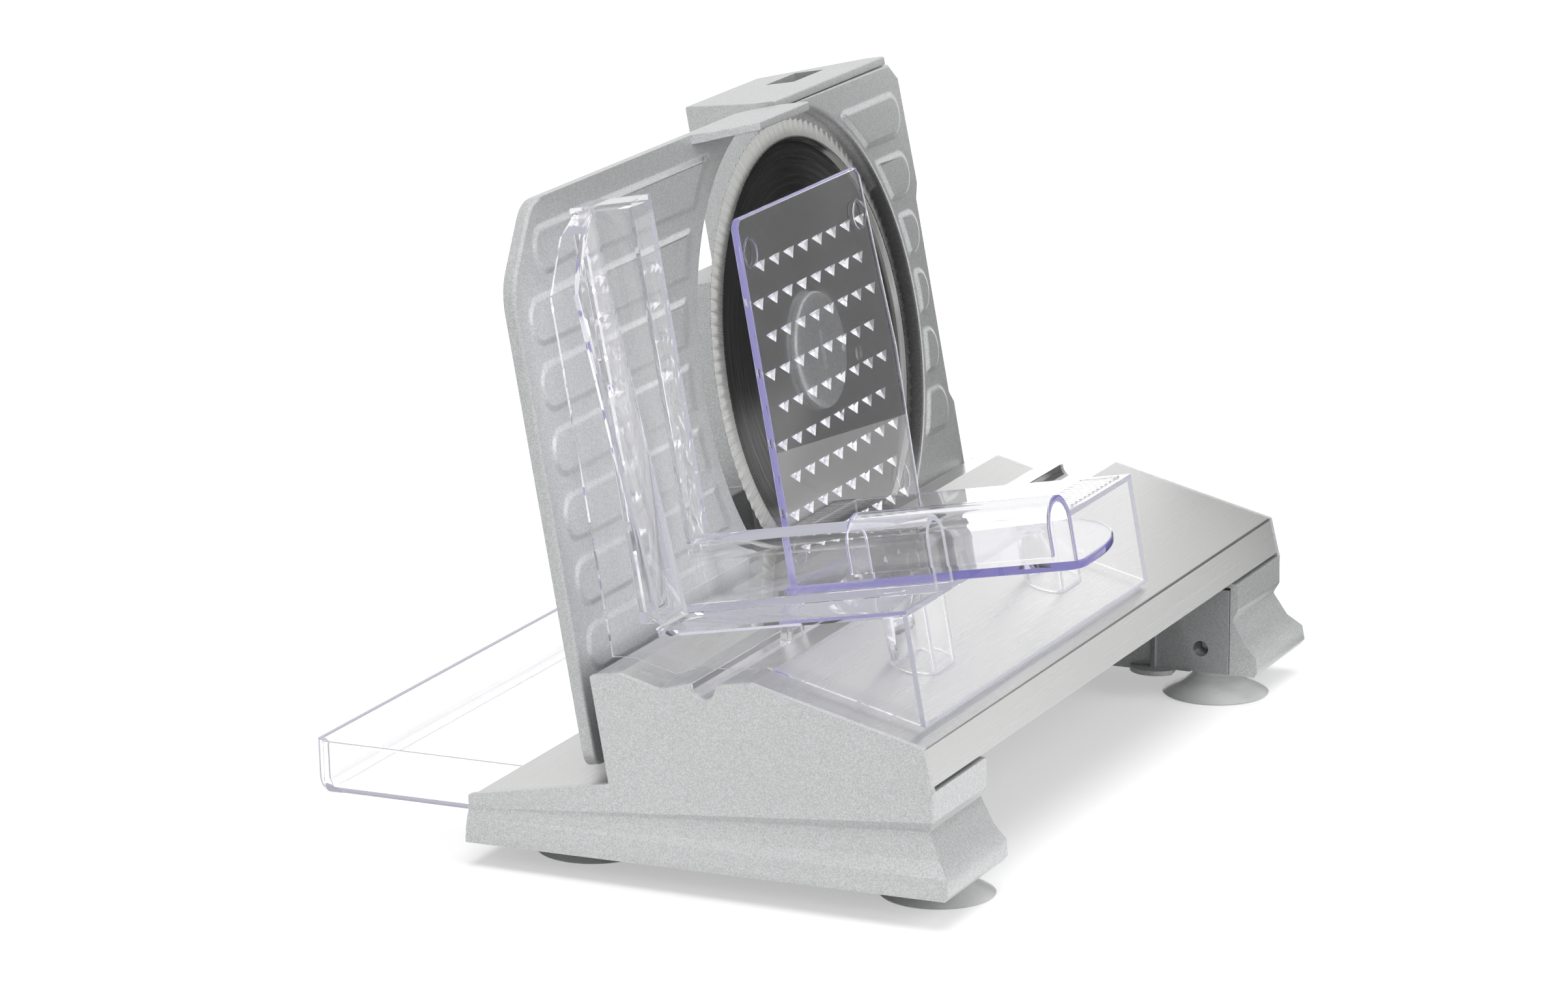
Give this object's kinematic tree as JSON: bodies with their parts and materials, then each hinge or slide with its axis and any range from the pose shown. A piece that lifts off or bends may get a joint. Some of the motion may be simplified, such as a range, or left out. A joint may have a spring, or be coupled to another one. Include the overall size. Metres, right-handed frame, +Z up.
{
  "type": "electric food slicer",
  "caption": "Electric food slicer with a leaning round blade, a thickness plate set by a knob, a clear sliding carriage with a food pusher, and a catch tray.",
  "frame": {"origin": "middle of the footprint on the table, under the suction cups", "axes": "+X along the carriage slide towards the motor housing, +Y away from the operator, +Z up"},
  "size_m": [0.3948, 0.3194, 0.2532],
  "materials": {
    "deck_steel": "brushed stainless sheet",
    "silver_casing": "silver metallic moulding",
    "grey_plastic": "dark grey moulding",
    "cup_rubber": "pale soft rubber",
    "blade_steel": "turned and ground stainless",
    "bright_steel": "machined",
    "bronze": "sintered",
    "black_plastic": "black moulding",
    "copper_winding": "enamelled wire",
    "gear_nylon": "natural nylon",
    "clear_plastic": "clear moulding"
  },
  "bodies": {
    "root": {"deck_plate": "deck_steel", "rear_deck_plate": "deck_steel", "base_frame": "grey_plastic", "left_foot": "silver_casing", "right_foot": "silver_casing", "left_foot_cover": "grey_plastic", "right_foot_cover": "grey_plastic", "foot_screws": "bright_steel", "front_left_cup": "cup_rubber", "front_right_cup": "cup_rubber", "rear_left_cup": "cup_rubber", "rear_right_cup": "cup_rubber", "housing_panel": "silver_casing", "motor_housing": "silver_casing", "housing_screws": "bright_steel", "cord_inlet": "black_plastic", "switch_body": "black_plastic", "motor_can": "bright_steel", "motor_clamp": "grey_plastic", "worm_bush": "bronze", "front_bush": "bronze", "rear_bush": "bronze", "rod_bushes": "bronze", "spindle_bush": "bronze"},
    "blade_group": {"blade": "blade_steel", "blade_lock": "blade_steel", "blade_shaft": "bright_steel", "worm_gear": "gear_nylon"},
    "motor_group": {"motor_armature": "copper_winding", "worm_shaft": "bright_steel"},
    "plate_group": {"thickness_plate": "silver_casing", "guide_rods": "bright_steel", "thickness_nut": "grey_plastic"},
    "knob_group": {"thickness_spindle": "bright_steel", "thickness_knob": "grey_plastic"},
    "carriage_group": {"carriage": "clear_plastic", "carriage_guides": "clear_plastic"},
    "pusher_group": {"pusher": "clear_plastic"},
    "tray_group": {"catch_tray": "clear_plastic"},
    "switch_rocker": {"power_switch": "black_plastic"}
  },
  "joints": [
    {"name": "blade_spin", "type": "hinge", "parent": "root", "child": "blade_group", "pos_m": [0.066, 0.0313, 0.1495], "axis": [0, 0.9833, -0.1822], "continuous": true},
    {"name": "motor_spin", "type": "hinge", "parent": "root", "child": "motor_group", "pos_m": [0.104, 0.05588, 0.14494], "axis": [0, 0.1822, 0.9833], "continuous": true},
    {"name": "plate_slide", "type": "slide", "parent": "root", "child": "plate_group", "axis": [0, 0.9833, -0.1822], "range_m": [-0.0033, 0.0117]},
    {"name": "knob_turn", "type": "hinge", "parent": "root", "child": "knob_group", "pos_m": [-0.051, 0.01745, 0.07477], "axis": [0, 0.9833, -0.1822], "range_deg": [-72.6, 257]},
    {"name": "carriage_slide", "type": "slide", "parent": "root", "child": "carriage_group", "axis": [1, 0, 0], "range_m": [-0.012, 0.15]},
    {"name": "pusher_slide", "type": "slide", "parent": "carriage_group", "child": "pusher_group", "axis": [0, 0.9833, -0.1822], "range_m": [-0.02, 0.052]},
    {"name": "tray_slide", "type": "slide", "parent": "root", "child": "tray_group", "axis": [0, 1, 0], "range_m": [-0.06, 0.12]},
    {"name": "switch_rock", "type": "hinge", "parent": "root", "child": "switch_rocker", "pos_m": [0.136, 0.06957, 0.23801], "axis": [0, 0.9833, -0.1822], "range_deg": [-14, 0]}
  ],
  "couplings": [
    {"joint": "motor_spin", "follows": "blade_spin", "ratio": 32},
    {"joint": "knob_turn", "follows": "plate_slide", "rad_per_m": 383.12}
  ]
}
